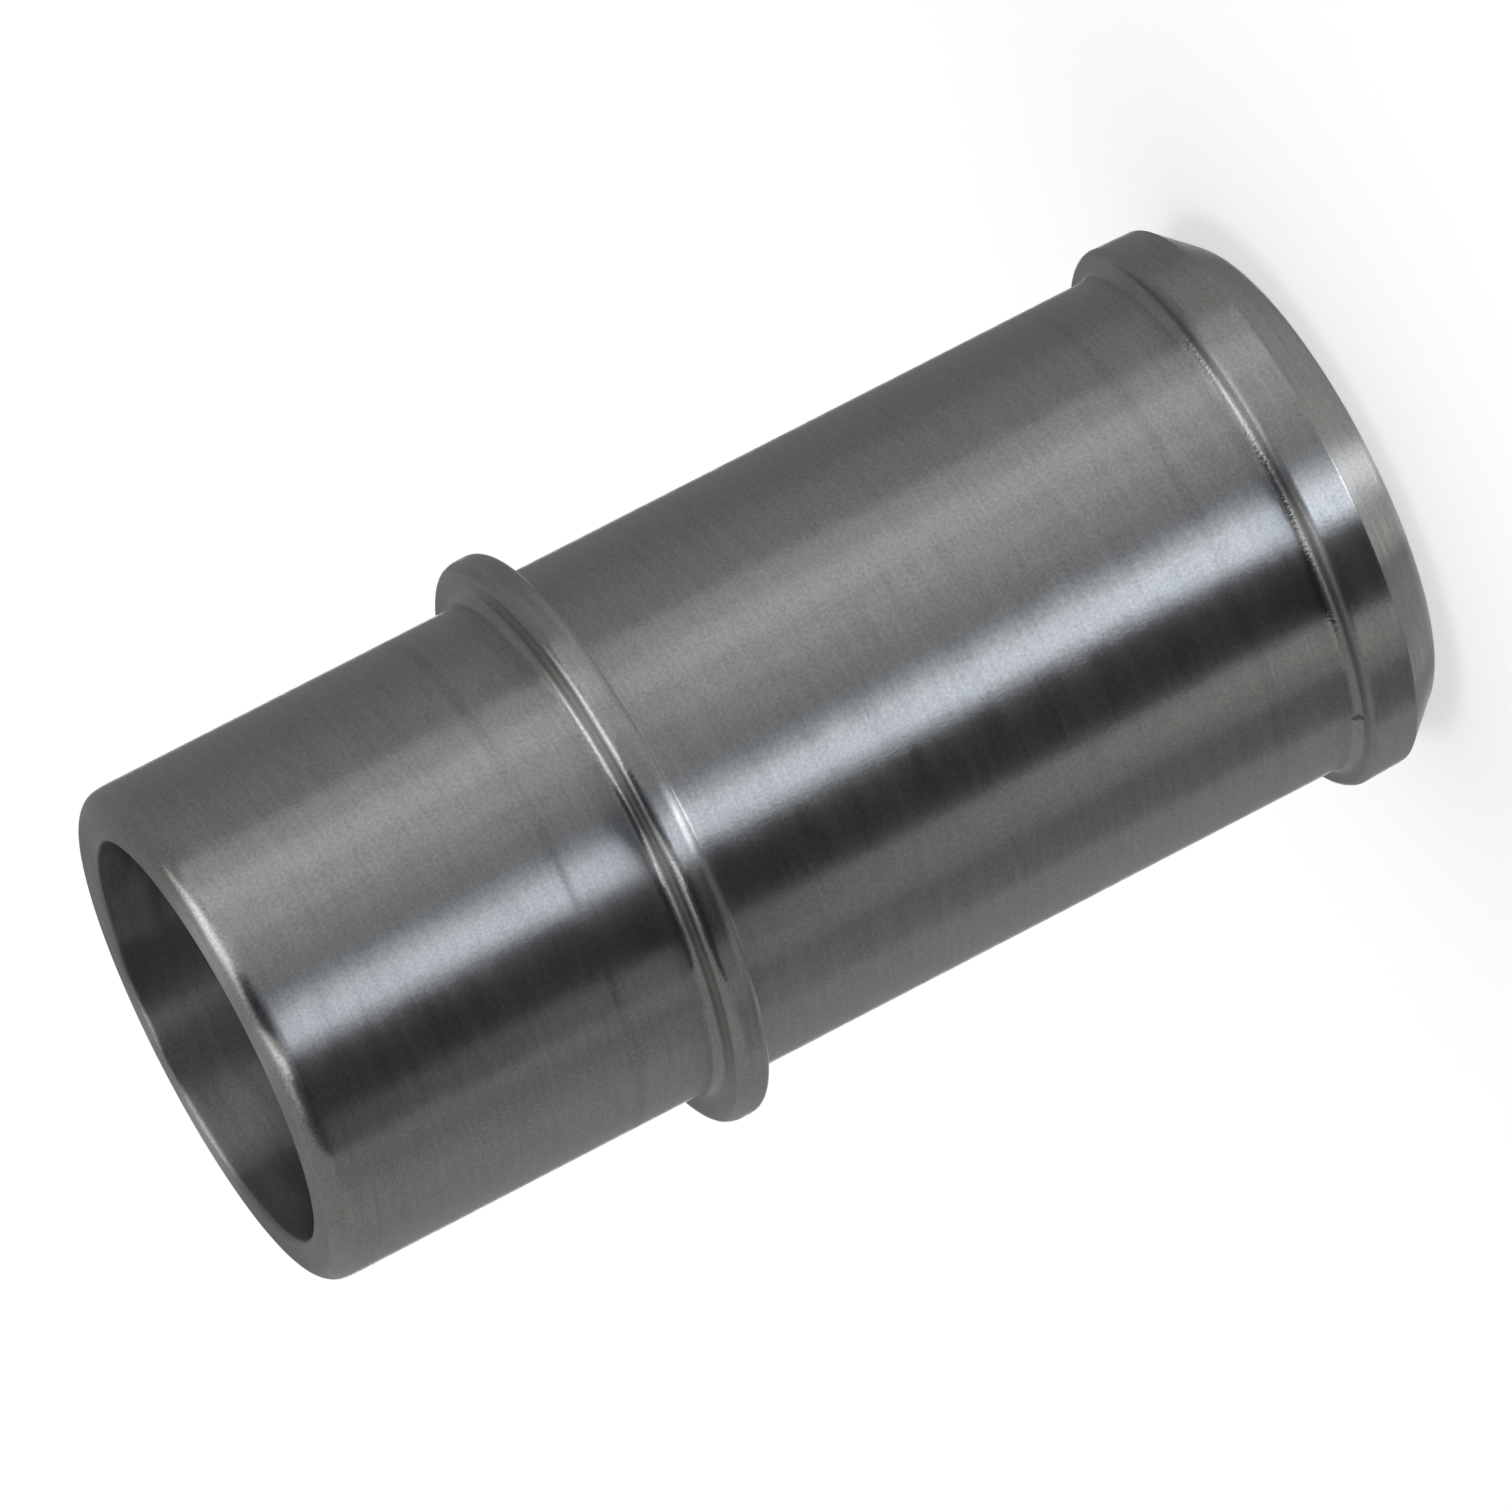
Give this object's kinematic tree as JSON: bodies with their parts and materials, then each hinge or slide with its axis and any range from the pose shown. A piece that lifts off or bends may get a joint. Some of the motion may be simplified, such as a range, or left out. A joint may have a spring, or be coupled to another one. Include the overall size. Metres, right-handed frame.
{
  "type": "press-in hose fitting",
  "caption": "Turned metal tube with a press-in spigot, a stop collar, a hose barrel and a retaining bead with a sloped lead-in.",
  "frame": {"origin": "centre of the hose end's face, which the part stands on", "axes": "+Z along the bore, from the hose end up to the press-in end; X and Y are any two directions across it, as the part is round"},
  "size_m": [0.0216, 0.0216, 0.044],
  "materials": {
    "steel": "bare stainless steel as turned, satin with fine rings round the axis"
  },
  "bodies": {
    "root": {"hose_fitting": "steel"}
  },
  "joints": []
}
